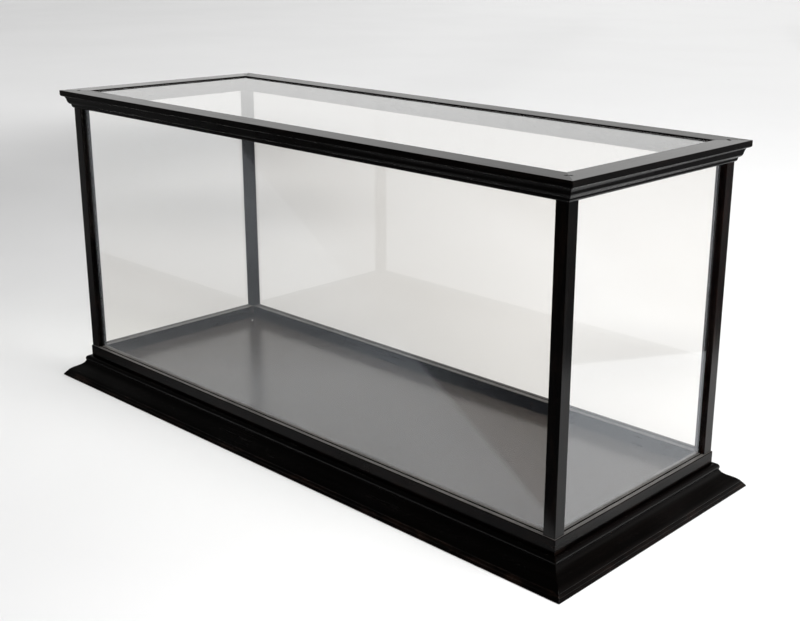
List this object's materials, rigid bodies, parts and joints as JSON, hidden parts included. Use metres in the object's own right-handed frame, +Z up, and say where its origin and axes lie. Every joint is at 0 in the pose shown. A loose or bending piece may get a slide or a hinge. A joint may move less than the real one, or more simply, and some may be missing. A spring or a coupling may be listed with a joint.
{
  "type": "model display case",
  "caption": "Table-top display case with a moulded plinth base, slim grooved corner posts, clear slide-in panes and a glazed crown-moulded lid that lifts off.",
  "frame": {"origin": "middle of the underside of the base, on the surface that the case stands on", "axes": "+X along the long side to the right end, +Y from the front to the back, +Z up"},
  "size_m": [1.016, 0.405, 0.46],
  "materials": {
    "lid_wood": "black-brown satin lacquer over close-grained wood",
    "post_wood": "black-brown satin lacquer, a little redder where it is thin on the arrises",
    "rail_wood": "black-brown satin lacquer",
    "skirt_wood": "black-brown satin lacquer, rubbed a little on the foot",
    "floor_wood": "dark brown satin lacquer",
    "block_wood": "bare sawn softwood",
    "pane_glass": "clear float glass with ground edges",
    "blacked_steel": "blacked steel screw",
    "zinc_steel": "zinc-plated steel"
  },
  "bodies": {
    "base": {"base_board": "floor_wood", "skirt_front": "skirt_wood", "skirt_right": "skirt_wood", "skirt_back": "skirt_wood", "skirt_left": "skirt_wood", "glue_block_front_left": "block_wood", "glue_block_front_right": "block_wood", "glue_block_back_right": "block_wood", "glue_block_back_left": "block_wood", "rail_front": "rail_wood", "rail_right": "rail_wood", "rail_back": "rail_wood", "rail_left": "rail_wood", "post_front_left": "post_wood", "post_front_right": "post_wood", "post_back_right": "post_wood", "post_back_left": "post_wood", "post_screw_front_left": "zinc_steel", "post_screw_front_right": "zinc_steel", "post_screw_back_right": "zinc_steel", "post_screw_back_left": "zinc_steel", "floor_pin_front_left": "zinc_steel", "floor_pin_front_right": "zinc_steel", "floor_pin_back_right": "zinc_steel", "floor_pin_back_left": "zinc_steel"},
    "lid": {"lid_rail_front": "lid_wood", "lid_rail_right": "lid_wood", "lid_rail_back": "lid_wood", "lid_rail_left": "lid_wood", "top_pane": "pane_glass", "glazing_bead_front": "lid_wood", "glazing_bead_right": "lid_wood", "glazing_bead_back": "lid_wood", "glazing_bead_left": "lid_wood", "lid_screw_front_left_a": "blacked_steel", "lid_screw_front_left_b": "blacked_steel", "lid_screw_front_right_a": "blacked_steel", "lid_screw_front_right_b": "blacked_steel", "lid_screw_back_right_a": "blacked_steel", "lid_screw_back_right_b": "blacked_steel", "lid_screw_back_left_a": "blacked_steel", "lid_screw_back_left_b": "blacked_steel"},
    "front_pane": {"pane_front": "pane_glass"},
    "right_pane": {"pane_right": "pane_glass"},
    "back_pane": {"pane_back": "pane_glass"},
    "left_pane": {"pane_left": "pane_glass"}
  },
  "joints": [
    {"name": "lid_lift", "type": "slide", "parent": "base", "child": "lid", "axis": [0, 0, 1], "range_m": [0, 0.8]},
    {"name": "front_pane_slide", "type": "slide", "parent": "base", "child": "front_pane", "axis": [0, 0, 1], "range_m": [0, 0.4]},
    {"name": "right_pane_slide", "type": "slide", "parent": "base", "child": "right_pane", "axis": [0, 0, 1], "range_m": [0, 0.4]},
    {"name": "back_pane_slide", "type": "slide", "parent": "base", "child": "back_pane", "axis": [0, 0, 1], "range_m": [0, 0.4]},
    {"name": "left_pane_slide", "type": "slide", "parent": "base", "child": "left_pane", "axis": [0, 0, 1], "range_m": [0, 0.4]}
  ],
  "couplings": [
    {"joint": "front_pane_slide", "follows": "lid_lift", "ratio": 0.5},
    {"joint": "right_pane_slide", "follows": "lid_lift", "ratio": 0.5},
    {"joint": "back_pane_slide", "follows": "lid_lift", "ratio": 0.5},
    {"joint": "left_pane_slide", "follows": "lid_lift", "ratio": 0.5}
  ]
}
